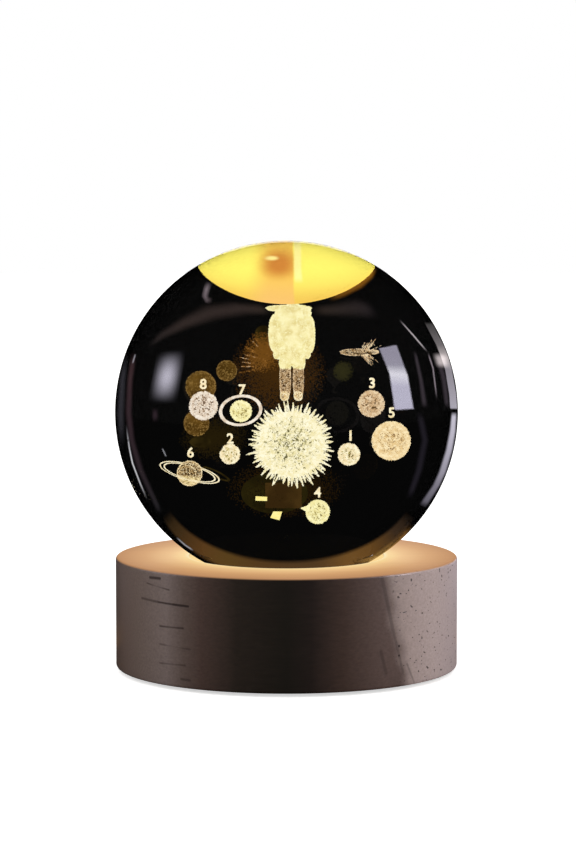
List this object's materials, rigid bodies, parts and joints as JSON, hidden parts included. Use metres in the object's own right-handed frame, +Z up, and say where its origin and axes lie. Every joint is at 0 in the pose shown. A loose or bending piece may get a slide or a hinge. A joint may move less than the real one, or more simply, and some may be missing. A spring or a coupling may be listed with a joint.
{
  "type": "crystal globe lamp",
  "caption": "Small table night light: a clear glass ball, engraved inside, standing in the lit recess of a round dark wooden base.",
  "frame": {"origin": "middle of the plane that the lamp stands on, on the axis of the ball and the base", "axes": "+Z up along the axis of the ball and the base; the front faces -Y; the power inlet and the push button face +Y"},
  "size_m": [0.08, 0.0807, 0.1004],
  "materials": {
    "crown_glass": "polished",
    "glass_engraving": "etched",
    "stained_beech": "satin",
    "clear_acrylic": "clear",
    "white_mask_board": "satin",
    "warm_led": "satin",
    "green_mask_board": "satin",
    "zinc_plated_steel": "plated",
    "nickel_plated_steel": "plated",
    "black_nylon": "matte",
    "white_acetal": "satin",
    "black_button_plastic": "satin",
    "black_cover_plastic": "fine grain",
    "red_lead_sleeve": "satin",
    "black_lead_sleeve": "satin",
    "chip_ceramic": "glazed",
    "foot_rubber": "matte"
  },
  "bodies": {
    "base": {"bottom_cover": "black_cover_plastic", "control_board": "green_mask_board", "control_board_screw_1": "zinc_plated_steel", "control_board_screw_2": "zinc_plated_steel", "cover_screw_1": "zinc_plated_steel", "cover_screw_2": "zinc_plated_steel", "cover_screw_3": "zinc_plated_steel", "lead_black": "black_lead_sleeve", "lead_red": "red_lead_sleeve", "led_1": "warm_led", "led_2": "warm_led", "led_3": "warm_led", "led_4": "warm_led", "led_5": "warm_led", "led_6": "warm_led", "led_board": "white_mask_board", "led_board_screw_1": "zinc_plated_steel", "led_board_screw_2": "zinc_plated_steel", "light_window": "clear_acrylic", "port_resistor_1": "chip_ceramic", "port_resistor_2": "chip_ceramic", "power_switch_body": "black_nylon", "rubber_foot_1": "foot_rubber", "rubber_foot_2": "foot_rubber", "rubber_foot_3": "foot_rubber", "rubber_foot_4": "foot_rubber", "series_resistor": "chip_ceramic", "usb_c_shell": "nickel_plated_steel", "usb_c_tongue": "black_nylon", "wooden_base": "stained_beech"},
    "globe": {"crystal_globe": "crown_glass"},
    "button": {"power_button_cap": "black_button_plastic", "power_switch_plunger": "white_acetal"}
  },
  "joints": [
    {"name": "globe_lift", "type": "slide", "parent": "base", "child": "globe", "axis": [0, 0, 1], "range_m": [0, 0.05]},
    {"name": "button_press", "type": "slide", "parent": "base", "child": "button", "axis": [0, -1, 0], "range_m": [0, 0.001], "stiffness_N_per_m": 400}
  ]
}
